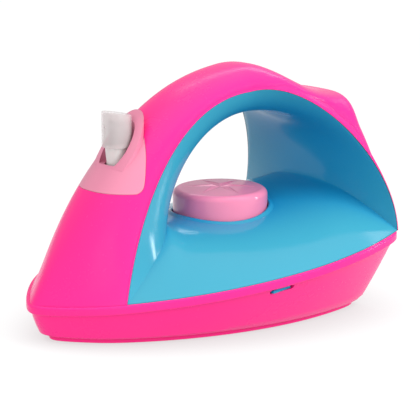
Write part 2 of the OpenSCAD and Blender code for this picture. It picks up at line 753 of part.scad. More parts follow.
// Stem and piston under the cap
piston_r = 4;
piston_tall = 4;
stem_bore = 0.6;
module pump_stem() color(soft_white) translate([-spray_x, 0, 0]) rotate_extrude() {
    translate([stem_bore, piston_low]) square([piston_r - stem_bore, piston_tall]);
    translate([stem_bore, piston_low]) square([stem_r - stem_bore, socket_low + stem_in - piston_low]);
}

// Return spring between the neck and the cap
neck_top = 98.5;
coil_r = 4.4;
wire_r = 0.45;
coil_turns = 6;
coil_steps = 84;
wire_sides = 6;
spring_low = neck_top + seat;
function coil_ring(i) = let (
        t = 360 * coil_turns * i / coil_steps,
        z = mix(spring_low + wire_r, spring_high - seat - wire_r, i / coil_steps))
    [for (k = [0:wire_sides - 1]) let (f = 360 * k / wire_sides, r = coil_r + wire_r * cos(f))
        [r * cos(t), r * sin(t), z + wire_r * sin(f)]];
module pump_spring() color(steel) translate([-spray_x, 0, 0]) skin([for (i = [0:coil_steps]) coil_ring(i)]);

// Pump housing with its neck, guide tube, flange and barrel
guide_r = 2.9;
guide_top = 104.5;
neck_low_r = 5.5;
barrel_r = 5.5;
barrel_low = 50;
barrel_floor = 2;
// The piston stays clear of the floor of the barrel when the cap is down
piston_gap = 5.5;
piston_low = barrel_low + barrel_floor + cap_travel + piston_gap;
chamber_top = 70;
flange_z = 71.2;
pump_flange_r = 8;
pump_flange_tall = 1.5;
dip_r = 1.5;
dip_seat = 0.5;
ball_hole = 0.9;
module pump_body() color(soft_white) translate([-spray_x, 0, 0]) rotate_extrude() {
    polygon([[stem_r + run_fit, chamber_top], [stem_r + run_fit, guide_top],
        [guide_r, guide_top], [guide_r, neck_top],
        [neck_r, neck_top], [neck_low_r, well_z], [barrel_r, flange_z + pump_flange_tall],
        [pump_flange_r, flange_z + pump_flange_tall], [pump_flange_r, flange_z], [barrel_r, flange_z],
        [barrel_r, barrel_low], [dip_r + seat, barrel_low], [dip_r + seat, barrel_low + barrel_floor - dip_seat],
        [ball_hole, barrel_low + barrel_floor - dip_seat], [ball_hole, barrel_low + barrel_floor],
        [piston_r + run_fit, barrel_low + barrel_floor], [piston_r + run_fit, chamber_top]]);
}

// Screw collar that holds the pump on the bottle
collar_r = 10;
collar_low = 60;
collar_plate = 1.5;
collar_in = 8.3;
collar_top = flange_z + pump_flange_tall + seat + collar_plate;
module pump_collar() color(soft_white) translate([-spray_x, 0, 0]) difference() {
    translate([0, 0, collar_low]) cylinder(r = collar_r, h = collar_top - collar_low);
    translate([0, 0, collar_low - over])
        cylinder(r = collar_in, h = collar_top - collar_plate - collar_low + over);
    cylinder(r = barrel_r + seat, h = collar_top + over);
}

// Ball valve, dip tube, bottle and its gasket
ball_r = 1.4;
ball_z = barrel_low + barrel_floor + sqrt(ball_r * ball_r - ball_hole * ball_hole) + seat;
module check_ball() color(steel) translate([-spray_x, 0, ball_z]) sphere(ball_r);
bottle_low = floor_top + seat;
bottle_wall = 1.4;
bottle_high = 58;
bottle_neck_r = 8;
bottle_neck_in = 6;
gasket_tall = 1.2;
bottle_neck_top = flange_z - gasket_tall;
bottle_round = 5;
dip_gap = 2;
dip_low = bottle_low + bottle_wall + dip_gap;
module dip_tube() color(clear_grey) translate([-spray_x, 0, dip_low]) difference() {
    cylinder(r = dip_r, h = barrel_low + barrel_floor - dip_seat - seat - dip_low);
    translate([0, 0, -over]) cylinder(r = dip_r / 2, h = barrel_low);
}
module bottle_side(r, low, high, round) {
    translate([0, low]) square([r - round, high - low]);
    translate([0, low + round]) square([r, high - low - 2 * round]);
    for (z = [low + round, high - round]) translate([r - round, z]) circle(round);
}
module water_bottle() color(clear_grey) translate([-spray_x, 0, 0]) rotate_extrude() intersection() {
    difference() {
        union() {
            bottle_side(bottle_r, bottle_low, bottle_high, bottle_round);
            square([bottle_neck_r, bottle_neck_top]);
        }
        bottle_side(bottle_r - bottle_wall, bottle_low + bottle_wall, bottle_high - bottle_wall,
            bottle_round - bottle_wall);
        translate([0, bottle_high / 2]) square([bottle_neck_in, bottle_neck_top]);
    }
    translate([0, bottle_low]) square([bottle_r, bottle_neck_top - bottle_low]);
}
module bottle_gasket() color(rubber_grey) translate([-spray_x, 0, bottle_neck_top + seat]) difference() {
    cylinder(r = bottle_neck_r - seat, h = flange_z - bottle_neck_top - 2 * seat);
    translate([0, 0, -over]) cylinder(r = bottle_neck_in, h = flange_z);
}

// Five equal screws up through the tray
module case_screws() color(steel) at_spots(screw_spots) difference() {
    union() {
        translate([0, 0, sole_thick - head_tall]) cylinder(r = head_r, h = head_tall);
        translate([0, 0, sole_thick - head_tall])
            cylinder(r = screw_r, h = screw_top - sole_thick + head_tall);
    }
    translate([0, 0, sole_thick - head_tall]) cross_slot(head_r, head_tall / 2);
}

sole_plate();
base_tray();
deck_insert();
cover_shell();
nozzle_panel();
heel_panel();
dial_knob();
dial_bushing();
detent_wheel();
click_spring();
dial_washer();
dial_screw();
spray_cap();
pump_stem();
pump_spring();
pump_body();
pump_collar();
check_ball();
dip_tube();
water_bottle();
bottle_gasket();
case_screws();
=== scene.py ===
import math

import bmesh
import bpy
import numpy as np
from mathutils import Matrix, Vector
from mathutils.bvhtree import BVHTree


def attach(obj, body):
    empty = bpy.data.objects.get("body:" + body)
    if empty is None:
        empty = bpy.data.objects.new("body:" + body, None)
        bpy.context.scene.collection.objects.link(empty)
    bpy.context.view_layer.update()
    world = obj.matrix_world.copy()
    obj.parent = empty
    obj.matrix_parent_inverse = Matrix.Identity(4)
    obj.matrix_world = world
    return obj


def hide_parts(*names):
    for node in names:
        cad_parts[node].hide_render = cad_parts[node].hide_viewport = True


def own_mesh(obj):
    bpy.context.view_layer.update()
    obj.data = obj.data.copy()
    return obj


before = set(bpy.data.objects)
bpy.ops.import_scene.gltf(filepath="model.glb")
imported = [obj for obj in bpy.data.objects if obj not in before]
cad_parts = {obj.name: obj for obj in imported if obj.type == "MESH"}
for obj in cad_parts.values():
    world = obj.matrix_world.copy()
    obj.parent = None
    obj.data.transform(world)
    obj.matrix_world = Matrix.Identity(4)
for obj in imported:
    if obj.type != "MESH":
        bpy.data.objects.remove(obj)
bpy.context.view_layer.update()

# --- Shell ---
# The hot pink upper shell, one glossy moulding from the nose over the grip to the heel block. Its
# back is round over the grip and boxy at the heel, with a raised flat band along the arch and a
# step beside it. It is screwed to the tray from below.

# Sizes are in millimetres. The station a, and s on the blue body, runs along the arch: 0 at the
# nose, 1 at the top of the grip, 2 at the heel.
MM = 1000
NOSE_X, HEEL_X, HEEL_BULGE = 95.8, 98.6, 2.4
RIM_HALF, HEEL_HALF, RIM_WIDE_X = 77.0, 66.0, 40.0
RIM_POWER, RIM_FULLNESS = 1.9, 0.685
RIM_Z, RIM_LIFT = 31.8, 23.1
RIM_RISE = RIM_LIFT / (NOSE_X + HEEL_X)
WALL, SEAT = 2.6, 0.1


def clamp01(t):
    return np.clip(t, 0.0, 1.0)


def ease(t, a, b):
    s = clamp01((t - a) / (b - a))
    return s * s * (3 - 2 * s)


def mix(a, b, t):
    return a + (b - a) * t


def bez(p, t):
    p = np.asarray(p, float)
    s = 1 - t
    return s ** 3 * p[0] + 3 * s * s * t * p[1] + 3 * s * t * t * p[2] + t ** 3 * p[3]


def rim_level(x):
    return RIM_Z + RIM_RISE * x


def rim_half_at(x):
    if x < RIM_WIDE_X:
        return RIM_HALF * (1 - clamp01((RIM_WIDE_X - x) / (RIM_WIDE_X + NOSE_X)) ** RIM_POWER) ** RIM_FULLNESS
    return RIM_HALF - (RIM_HALF - HEEL_HALF) * ((x - RIM_WIDE_X) / (HEEL_X - RIM_WIDE_X)) ** 2


EDGE_LOW_X, HEEL_BACK_X = -65.0, HEEL_X + HEEL_BULGE
EDGE_LOW = (EDGE_LOW_X, rim_half_at(EDGE_LOW_X), rim_level(EDGE_LOW_X))
EDGE_TOP = (30.2, 22.3, 121.3)
EDGE_HEEL = (HEEL_X, HEEL_HALF, rim_level(HEEL_X))
EDGE_FRONT = (EDGE_LOW, (-46.7, 24, 59.6), (-22.7, 20.6, 119.6), EDGE_TOP)
EDGE_REAR = (EDGE_TOP, (66, 32.2, 128.7), (102.3, 60, 79.5), EDGE_HEEL)
RIDGE_FRONT = ((-NOSE_X, rim_level(-NOSE_X)), (-74.2, 58.9), (-35.9, 122.9), (31, 133.2))
RIDGE_GRIP = ((31, 133.2), (58, 137.3), (58, 118.5), (97.5, 114.5))
RIDGE_HEEL = ((97.5, 114.5), (101, 114.5), (106, 76), (HEEL_BACK_X, rim_level(HEEL_BACK_X)))
GRIP_SPAN, HEEL_SPAN = 0.42, 0.58


def edge(a):
    """The shell's lower edge, where it meets the blue body."""
    return bez(EDGE_FRONT, a) if a < 1 else bez(EDGE_REAR, a - 1)


def ridge(a):
    """The line along the shell's back, in side view."""
    if a < 1:
        return bez(RIDGE_FRONT, a)
    if a - 1 < GRIP_SPAN:
        return bez(RIDGE_GRIP, (a - 1) / GRIP_SPAN)
    return bez(RIDGE_HEEL, (a - 1 - GRIP_SPAN) / HEEL_SPAN)


FACE_NOSE, FACE_GRIP, FACE_HEEL_LOSS = 0.9, 7.6, 0.55
STEP_NOSE, STEP_HEEL = 0.15, 5.3
NOSE_POWER, GRIP_POWER, HEEL_OUT_POWER, HEEL_BACK_POWER, HEEL_BOXY = 1.16, 2.06, 2.74, 1.6, 0.9
CREST_R, EDGE_R, BAND_R, BAND_BOW = 2.2, 0.35, 0.8, 1.7
BAND_SHARES = (0.25, 0.45, 0.65, 0.82)
ARCH_STEPS, BACK_STEPS, BAND_CORNER_POINTS = 150, 26, 6


def half_section(w, long, a, deep=0.0):
    """One side of a section as rows of (out, along): edge, flat band, step, round back."""
    face = FACE_NOSE + (FACE_GRIP * ease(a, 1.08, 1.3) * (1 - FACE_HEEL_LOSS * ease(a, 1.27, 1.45))
                        * (1 - ease(a, 1.45, 1.8)))
    step = STEP_NOSE + STEP_HEEL * ease(a, 1.24, 1.42) * (1 - ease(a, 1.75, 2))
    front = mix(NOSE_POWER, GRIP_POWER, ease(a, 0, 0.52))
    to_heel = ease(a, 1.1, 1.42)
    out_power = mix(front, HEEL_OUT_POWER, to_heel)
    back_power = (mix(front, HEEL_BACK_POWER, to_heel)
                  + HEEL_BOXY * ease(a, 1.28, 1.4) * (1 - ease(a, 1.48, 1.62)))
    h = min(face, 0.3 * long)
    reach = w - 0.5 * h - step - deep
    if deep:
        h = max(h - deep, 0.3 * h)
    w, long = w - deep, max(long - deep, 0.4 * long)
    k = math.hypot(reach, CREST_R) - CREST_R
    f = np.linspace(0, math.pi / 2, BACK_STEPS + 1)
    c, s = np.maximum(np.cos(f), 0) ** (2 / out_power), np.sin(f) ** (2 / back_power)
    y = np.sqrt(np.maximum(0, (c * k + CREST_R) ** 2 - CREST_R ** 2))
    r, q = min(EDGE_R, 0.3 * h), min(BAND_R, 0.3 * h, 0.4 * step + 0.02)
    top = w - 0.5 * h
    head = [(w - r, 0), (w - 0.3 * r, 0.3 * r), (w - 0.6 * r, r * 1.2)]
    for t in BAND_SHARES:
        head.append((mix(w - 0.6 * r, top + 0.5 * q, t ** BAND_BOW), mix(1.2 * r, h - q, t)))
    for t in np.linspace(0, 1, BAND_CORNER_POINTS):
        head.append((top + 0.5 * q * (1 - t) ** 2 - 0.9 * q * t * t, h - q * (1 - t) ** 2))
    return np.vstack([head, np.stack([y, h + (long - h) * s], 1)])


def place(pairs, a, side):
    """Rows of (out, along) set up at station a, on the plane that rises from edge to ridge."""
    e, r = edge(a), ridge(a)
    up = np.array([r[0] - e[0], r[1] - e[2]])
    up /= np.linalg.norm(up)
    along = pairs[:, 1] + SEAT
    return np.stack([e[0] + up[0] * along, side * pairs[:, 0], e[2] + up[1] * along], 1)


def section_long(a):
    e, r = edge(a), ridge(a)
    return math.hypot(r[0] - e[0], r[1] - e[2])


def full_row(a, deep=0.0):
    half = half_section(edge(a)[1], section_long(a), a, deep)
    return np.vstack([place(half, a, -1), place(half[-2::-1], a, 1)])


def shell_row(a):
    return np.vstack([full_row(a), full_row(a, WALL)[::-1]])


def loft(name, rows, ring=False):
    """A closed mesh over rows of equal loops. In a ring the last row joins the first."""
    rows = [np.asarray(r, float) for r in rows]
    m, n = len(rows), len(rows[0])
    faces = []
    for i in range(m if ring else m - 1):
        after = (i + 1) % m
        for j in range(n):
            beside = (j + 1) % n
            faces.append((i * n + j, i * n + beside, after * n + beside, after * n + j))
    if not ring:
        faces.append(tuple(range(n - 1, -1, -1)))
        faces.append(tuple((m - 1) * n + j for j in range(n)))
    mesh = bpy.data.meshes.new(name)
    mesh.from_pydata([tuple(p) for p in np.vstack(rows) / MM], [], faces)
    o = bpy.data.objects.new(name, mesh)
    bpy.context.scene.collection.objects.link(o)
    bm = bmesh.new()
    bm.from_mesh(mesh)
    bmesh.ops.remove_doubles(bm, verts=bm.verts, dist=1e-7)
    bmesh.ops.recalc_face_normals(bm, faces=bm.faces)
    bm.to_mesh(mesh)
    bm.free()
    return o


def prism(name, outline, axis, low, high):
    """A straight prism over a closed outline, along x, y or z."""
    put = {"x": lambda u, v, t: (t, u, v),
           "y": lambda u, v, t: (u, t, v),
           "z": lambda u, v, t: (u, v, t)}[axis]
    return loft(name, [[put(u, v, t) for u, v in outline] for t in (low, high)])


def carve(o, tool, how="DIFFERENCE"):
    """Cuts a piece with a tool, or joins or crosses them. The tool is used up."""
    m = o.modifiers.new("carve", "BOOLEAN")
    m.object, m.operation, m.solver = tool, how, "EXACT"
    dg = bpy.context.evaluated_depsgraph_get()
    mesh = bpy.data.meshes.new_from_object(o.evaluated_get(dg))
    o.modifiers.remove(m)
    o.data = mesh
    bpy.data.objects.remove(tool)


def plastic(name, colour, rough=0.24, deep=None, clear=0.0, grain=0.006, coat=0.25, glow=0.0, hollow_shade=0.2,
            shine=0.5, wide_hollow_shade=None, edge_r=0.4):
    """Moulded plastic: a base tone with slow drift, moulding flow streaks, orange-peel relief, fine
    wear that roughens the gloss and slightly rounded corners, with painted shade darkening the small
    hollows. A second painted shade tone fills the wide hollows."""
    m = bpy.data.materials.new(name)
    m.use_nodes = True
    nt = m.node_tree
    b = nt.nodes["Principled BSDF"]
    deep = deep or tuple(0.72 * c for c in colour)
    pos = nt.nodes.new("ShaderNodeTexCoord")

    def noise(scale, detail, bite):
        n = nt.nodes.new("ShaderNodeTexNoise")
        for key, value in (("Scale", scale), ("Detail", detail), ("Roughness", bite)):
            n.inputs[key].default_value = value
        nt.links.new(pos.outputs["Object"], n.inputs["Vector"])
        return n.outputs["Fac"]

    def span(source, low, high, to_low, to_high):
        n = nt.nodes.new("ShaderNodeMapRange")
        for key, value in (("From Min", low), ("From Max", high), ("To Min", to_low), ("To Max", to_high)):
            n.inputs[key].default_value = value
        nt.links.new(source, n.inputs["Value"])
        return n.outputs["Result"]

    def hollows(samples, reach):
        n = nt.nodes.new("ShaderNodeAmbientOcclusion")
        n.samples = samples
        n.inputs["Distance"].default_value = reach
        return n.outputs["AO"]

    def blend_colour(fac, c1, c2):
        n = nt.nodes.new("ShaderNodeMix")
        n.data_type = "RGBA"
        for sock, v in ((n.inputs[0], fac), (n.inputs[6], c1), (n.inputs[7], c2)):
            if isinstance(v, tuple):
                sock.default_value = (*v, 1)
            else:
                nt.links.new(v, sock)
        return n.outputs[2]

    drift = span(noise(scale=9, detail=3, bite=0.5), low=0.35, high=0.7, to_low=0.0, to_high=0.16)
    flow = nt.nodes.new("ShaderNodeTexWave")
    for key, value in (("Scale", 3.0), ("Distortion", 9.0), ("Detail", 3.0)):
        flow.inputs[key].default_value = value
    nt.links.new(pos.outputs["Object"], flow.inputs["Vector"])
    streaks = span(flow.outputs["Fac"], low=0, high=1, to_low=0, to_high=0.05)
    # Painted shade: the small hollows darken by ambient occlusion.
    painted_hollow_shade = span(hollows(samples=4, reach=0.004), low=0.3, high=0.95, to_low=hollow_shade, to_high=0.0)
    tone = blend_colour(drift, colour, deep)
    tone = blend_colour(streaks, tone, tuple(min(1, c * 1.12 + 0.02) for c in colour))
    tone = blend_colour(painted_hollow_shade, tone, tuple(0.55 * c for c in deep))
    # Painted shade: the wide hollows darken towards this tone by ambient occlusion.
    if wide_hollow_shade:
        painted_wide_shade = span(hollows(samples=8, reach=0.09), low=0.38, high=0.8, to_low=0.9, to_high=0.0)
        tone = blend_colour(painted_wide_shade, tone, wide_hollow_shade)
    nt.links.new(tone, b.inputs["Base Color"])

    scuff = span(noise(scale=500, detail=2, bite=0.6), low=0.62, high=0.8, to_low=0.0, to_high=0.05)
    patch = span(noise(scale=28, detail=4, bite=0.6), low=0.3, high=0.75,
                 to_low=rough - 0.04, to_high=rough + 0.07)
    add = nt.nodes.new("ShaderNodeMath")
    nt.links.new(scuff, add.inputs[0])
    nt.links.new(patch, add.inputs[1])
    nt.links.new(add.outputs[0], b.inputs["Roughness"])

    rounded = nt.nodes.new("ShaderNodeBevel")
    rounded.samples = 4
    rounded.inputs["Radius"].default_value = edge_r / MM
    bump = nt.nodes.new("ShaderNodeBump")
    bump.inputs["Strength"].default_value = 0.12
    bump.inputs["Distance"].default_value = grain / MM
    nt.links.new(noise(scale=700, detail=2, bite=0.5), bump.inputs["Height"])
    nt.links.new(rounded.outputs["Normal"], bump.inputs["Normal"])
    nt.links.new(bump.outputs["Normal"], b.inputs["Normal"])
    for key, value in (("IOR", 1.48), ("Specular IOR Level", shine), ("Coat Weight", coat),
                       ("Coat Roughness", 0.12), ("Alpha", 1 - clear)):
        b.inputs[key].default_value = value
    if glow:
        for key, value in (("Subsurface Weight", glow), ("Subsurface Radius", (1.0, 0.6, 0.6)),
                           ("Subsurface Scale", 0.003)):
            b.inputs[key].default_value = value
    m.diffuse_color = (*colour, 1)
    return m


def dress(o, body, material, slot, *nodes, sharp=32):
    """Puts the piece on its body, in its material, in place of the CAD nodes it stands for."""
    o.data.materials.clear()
    o.data.materials.append(material)
    for p in o.data.polygons:
        p.use_smooth = True
    o.data.set_sharp_from_angle(angle=math.radians(sharp))
    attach(o, body)
    if nodes:
        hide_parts(*nodes)


HOT_PINK = plastic("hot_pink_plastic", (0.98, 0.026, 0.262), rough=0.24, deep=(0.93, 0.018, 0.225),
                   coat=0.0, shine=0.2)
ARCH_ROWS = [2 * i / ARCH_STEPS for i in range(ARCH_STEPS + 1)]
SEAM_SHARES = [(0, 0), (0.11, 0.028), (0.19, 0.086), (0.255, 0.22), (0.335, 0.37), (0.435, 0.535),
               (0.52, 0.645), (0.61, 0.745), (0.69, 0.81), (0.81, 0.885), (1, 1)]
PANEL_FRONT, PANEL_BACK, PANEL_LOW, PANEL_TALL = -47.0, -20.0, 75.5, 39.5
PANEL_AHEAD, PANEL_OVER, PANEL_CUT_HALF = -115.8, 20, 80
HEEL_CORNER_Y, HEEL_CORNER_LOW, HEEL_CORNER_HIGH, HEEL_CORNER_R = 28, 58.5, 85.5, 10
HEEL_CUT, CORNER_STEPS = (92.6, 108), 8
SPRAY_X, WELL_HOLE_R, WELL_HOLE_CUT = -42.0, 11.2, (86.2, 150)


def panel_window(by):
    """Side view of the spray panel, its seam rounded by cutting the corners of the CAD outline."""
    seam = [(mix(PANEL_FRONT, PANEL_BACK, u) - by, PANEL_LOW + PANEL_TALL * v + by) for u, v in SEAM_SHARES]
    top = PANEL_LOW + PANEL_TALL + PANEL_OVER
    outline = [(PANEL_AHEAD, PANEL_LOW + by)] + seam + [(PANEL_BACK - by, top), (PANEL_AHEAD, top)]
    p = [np.array(q, float) for q in outline]
    fine = [p[0]]
    for i in range(1, len(p) - 2):
        fine += [mix(p[i], p[i - 1], 0.25), mix(p[i], p[i + 1], 0.25)]
    return fine + p[-2:]


def heel_window(by):
    """Back view of the heel panel: a rectangle with round corners."""
    y0, low, high, r = HEEL_CORNER_Y, HEEL_CORNER_LOW, HEEL_CORNER_HIGH, HEEL_CORNER_R - by
    out = []
    for k, (y, z) in enumerate(((y0, high), (-y0, high), (-y0, low), (y0, low))):
        for i in range(CORNER_STEPS + 1):
            f = math.radians(90 * k + 90 * i / CORNER_STEPS)
            out.append((y + r * math.cos(f), z + r * math.sin(f)))
    return out


def circle(r, x=SPRAY_X, y=0, steps=96):
    turns = [2 * math.pi * i / steps for i in range(steps)]
    return [(x + r * math.cos(f), y + r * math.sin(f)) for f in turns]


shell = loft("shell", [shell_row(a) for a in ARCH_ROWS])
carve(shell, prism("cut", panel_window(0), "y", -PANEL_CUT_HALF, PANEL_CUT_HALF))
carve(shell, prism("cut", heel_window(0), "x", *HEEL_CUT))
carve(shell, prism("cut", circle(WELL_HOLE_R), "z", *WELL_HOLE_CUT))
dress(shell, "iron", HOT_PINK, "hot_pink_shell", "cover_shell")

# --- Spray panel ---
# The light pink panel round the spray head, let into the front of the shell, with a round well
# that goes down behind the cap and a low hood behind it. A separate moulding, snapped in.
LIGHT_PINK = plastic("light_pink_plastic", (0.74, 0.245, 0.365), rough=0.3, deep=(0.68, 0.20, 0.33),
                     coat=0.05, shine=0.4)
WELL_R, WELL_OUTER_R, WELL_FLOOR, WELL_UNDER, WELL_ABOVE = 9.4, 10.9, 88, 86.5, 160
HOOD_R, HOOD_LEAN, HOOD_TOP = 14.2, math.radians(10), 148
NECK_HOLE_R, NECK_CUT, PANEL_SEAM = 6.6, (60, 100), 0.12
PANEL_ROWS, HOOD_ROWS = ARCH_ROWS[:90], ARCH_ROWS[:100]


def raised_form():
    """The shell's outer form tipped up behind the front of the well."""
    x0, c, d = SPRAY_X - WELL_R, math.cos(HOOD_LEAN), math.sin(HOOD_LEAN)
    rows = []
    for a in HOOD_ROWS:
        x, y, z = (full_row(a) - [x0, 0, WELL_FLOOR]).T
        rows.append(np.stack([c * x - d * z + x0, y, d * x + c * z + WELL_FLOOR], 1))
    return loft("raised_form", rows)


panel = loft("spray_panel", [shell_row(a) for a in PANEL_ROWS])
hood = prism("hood", circle(HOOD_R), "z", WELL_UNDER, HOOD_TOP)
carve(hood, raised_form(), "INTERSECT")
carve(hood, loft("cut", [full_row(a, WALL / 2) for a in HOOD_ROWS]))
carve(panel, hood, "UNION")
carve(panel, prism("cut", panel_window(PANEL_SEAM), "y", -PANEL_CUT_HALF, PANEL_CUT_HALF), "INTERSECT")
well = prism("spray_well", circle(WELL_OUTER_R), "z", WELL_UNDER, HOOD_TOP)
carve(well, raised_form(), "INTERSECT")
carve(panel, well, "UNION")
carve(panel, prism("cut", circle(WELL_R), "z", WELL_FLOOR, WELL_ABOVE))
carve(panel, prism("cut", circle(NECK_HOLE_R), "z", *NECK_CUT))
dress(panel, "iron", LIGHT_PINK, "light_pink_trim", "nozzle_panel")

# --- Heel panel ---
# The light pink panel let into the back of the heel block, flush with the shell round it. Its light pink is
# a painted reflection: it stands in for the pale grazing reflection low on the heel's back. Its face follows
# the shell and a narrow seam runs all the way round.
HEEL_SEAM, HEEL_ROWS = 0.14, ARCH_ROWS[100:]
# Painted reflection: this light pink piece stands in for the pale grazing reflection low on the heel's back.
heel = loft("heel_panel_painted_reflection", [shell_row(a) for a in HEEL_ROWS])
carve(heel, prism("cut", heel_window(HEEL_SEAM), "x", *HEEL_CUT), "INTERSECT")
dress(heel, "iron", LIGHT_PINK, "light_pink_trim", "heel_panel")

# --- Blue body ---
# The sky blue inner moulding: the deck, the flared heel wall and the inner face of the grip in
# one skin, with the dial's round pocket. It is clipped into the tray by two side tabs.
# Painted shade: its wide hollow tone darkens the heel wall and the deep parts of the hand opening by ambient
# occlusion.
BLUE = plastic("sky_blue_plastic", (0.05, 0.33, 0.455), rough=0.13, deep=(0.012, 0.27, 0.42), coat=0.0,
               shine=0.22, wide_hollow_shade=(0.0, 0.235, 0.50), edge_r=0.9)
HAND_FRONT = ((-19, 57), (-14, 83), (12, 107.3), (41, 107.3))
HAND_REAR = ((41, 107.3), (70, 107.3), (91, 97), (88, 66))
HAND_DECK = ((88, 66), (87.6, 59.4), (-20, 47.5), (-19, 57))
DECK_THICK, BODY_CROWDING, NUDGE = 2.2, 1.5, 0.01
BODY_STEPS, ARCH_STOPS, DECK_STOPS = 24, 60, 80


def hand_hole(s):
    """The round of the hand opening in side view: grip, heel wall, and from 2 to 3 the deck."""
    if s < 1:
        return bez(HAND_FRONT, s)
    return bez(HAND_REAR, s - 1) if s < 2 else bez(HAND_DECK, s - 2)


def body_edge(s):
    if s < 2:
        return edge(s)
    x = mix(HEEL_X, EDGE_LOW_X, s - 2)
    return np.array([x, rim_half_at(x), rim_level(x)])


def flare_power(s):
    """How late the skin turns from its middle out to its edge: 3 at the front, 2 at the heel."""
    if s < 2:
        return mix(3, 2, ease(s, 1.3, 2))
    return mix(mix(2, 2.4, ease(s, 2, 2.3)), 3, ease(s, 2.85, 3))


def across(e, m, w, s):
    """A line across the body, from edge to edge at half width w, through its middle point m."""
    y = w * (1 - np.linspace(0, 1, BODY_STEPS + 1) ** BODY_CROWDING)
    d = 1 - (y / w) ** flare_power(s)
    half = np.stack([mix(e[0], m[0], d), y, mix(e[2], m[1], d)], 1)
    return np.vstack([half * [1, -1, 1], half[-2::-1]])


def body_row(s):
    e, m = body_edge(s), hand_hole(s)
    t = hand_hole((s + NUDGE) % 3) - hand_hole((s - NUDGE) % 3)
    t /= np.linalg.norm(t)
    under = across(e, m + DECK_THICK * np.array([-t[1], t[0]]), e[1] - WALL, s)
    return np.vstack([across(e, m, e[1], s)[::-1], under])


stops = [i / ARCH_STOPS for i in range(2 * ARCH_STOPS)] + [2 + i / DECK_STOPS for i in range(DECK_STOPS)]
deck = loft("blue_body", [body_row(s) for s in stops], ring=True)
skin = BVHTree.FromObject(deck, bpy.context.evaluated_depsgraph_get())
DIAL_X, ABOVE_DECK, CUP_STEPS = 27.0, 68, 128
CUP_LOW, POCKET_Z, POCKET_R, POCKET_CUT_R, POCKET_CUT = 48.0, 50.2, 26.6, 27.5, (46, 66)
SPINDLE_HOLE_R, CUP_OUTER_R, CUP_LIP_DROP = 7.1, 28.0, 1.2
LIP_ROUND = ((POCKET_R, 0.5), (26.72, 0.8), (27.1, 0.95), (27.6, 0.93), (28.1, 0.72), (28.5, 0.42))
LIP_RIM_R, LIP_FOOT = 28.6, ((28.9, 0.2), (29.4, 0.06), (30.0, -0.05))


def deck_top(x, y):
    return skin.ray_cast(Vector((x, y, ABOVE_DECK)) / MM, Vector((0, 0, -1)))[0].z * MM


carve(deck, prism("cut", circle(POCKET_CUT_R, x=DIAL_X, steps=CUP_STEPS), "z", *POCKET_CUT))
cup_rows = []
for i in range(CUP_STEPS):
    f = 2 * math.pi * i / CUP_STEPS
    c, s = math.cos(f), math.sin(f)
    top = deck_top(DIAL_X + LIP_RIM_R * c, LIP_RIM_R * s)
    line = [(SPINDLE_HOLE_R, CUP_LOW), (SPINDLE_HOLE_R, POCKET_Z), (POCKET_R - 0.4, POCKET_Z),
            (POCKET_R - 0.15, POCKET_Z + 0.1), (POCKET_R, POCKET_Z + 0.5)]
    line += [(r, top + h) for r, h in LIP_ROUND]
    line += [(r, deck_top(DIAL_X + r * c, r * s) + h) for r, h in LIP_FOOT]
    line += [(CUP_OUTER_R + 0.4, top - CUP_LIP_DROP), (CUP_OUTER_R, CUP_LOW)]
    cup_rows.append([(DIAL_X + r * c, r * s, z) for r, z in line])
cup = loft("dial_cup", cup_rows, ring=True)

BEAD_TALL, CATCH_X, CATCH_DROP = 4.8, 10.3, 1.8
CATCH_Z = rim_level(CATCH_X) - BEAD_TALL - CATCH_DROP
TAB_X, TAB_GAP, TAB_THICK, TAB_LEAN, TAB_LONG, TAB_UP = (4.1, 16.5), 0.9, 1.6, 6.2, 11, 1
HOOK_X, HOOK_IN, HOOK_OUT, HOOK_HALF = (4.6, 16.0), 8, 1.8, 0.85
w = rim_half_at(CATCH_X) - WALL - TAB_GAP
for side in (-1, 1):
    tab_rows = []
    for x in TAB_X:
        z = rim_level(x) + TAB_UP
        tab_rows.append([(x, side * (w - TAB_THICK), z), (x, side * w, z),
                         (x, side * (w - TAB_LEAN), z - TAB_LONG),
                         (x, side * (w - TAB_LEAN - TAB_THICK), z - TAB_LONG)])
    tab = loft("tab", tab_rows)
    hook_corners = ((w - HOOK_IN, -HOOK_HALF), (w + HOOK_OUT, -HOOK_HALF), (w + HOOK_OUT, HOOK_HALF),
                    (w - HOOK_IN, HOOK_HALF))
    hook = loft("hook", [[(x, side * y, CATCH_Z + (x - CATCH_X) * RIM_RISE + h) for y, h in hook_corners]
                         for x in HOOK_X])
    for piece in (tab, hook):
        dress(piece, "iron", BLUE, "sky_blue_body")
dress(deck, "iron", BLUE, "sky_blue_body", "deck_insert")
dress(cup, "iron", BLUE, "sky_blue_body", "deck_insert")

# --- Tray ---
# The hot pink lower half: a boat-shaped tub with a raised bead all round its rim, on which the
# shell and the blue body sit. Each side wall has a slot that shows the catch tab behind it.
SOLE_LONG, SOLE_HALF, SOLE_BACK, SOLE_THICK = 171.0, 55.0, 1.5, 2.4
TRAY_ROUND, ROUND_FLATNESS, WALL_BOW = 4.4, 0.42, 0.42
BEAD_OUT, BEAD_UNDER_R, BEAD_TOP_R, BEAD_TOP_TALL, BEAD_FLAT = 2.0, 0.6, 1.3, 1.25, 0.02
BODY_LONG, TRAY_Z = NOSE_X + HEEL_X, SOLE_THICK + SEAT
SIDE_STEPS, COARSE_STEPS, LOOP_POINTS = 16, 9, 260
SLOT_R, SLOT_HALF, SLOT_POINTS, SLOT_CUT = 1.1, 5.9, 16, (62, 84)


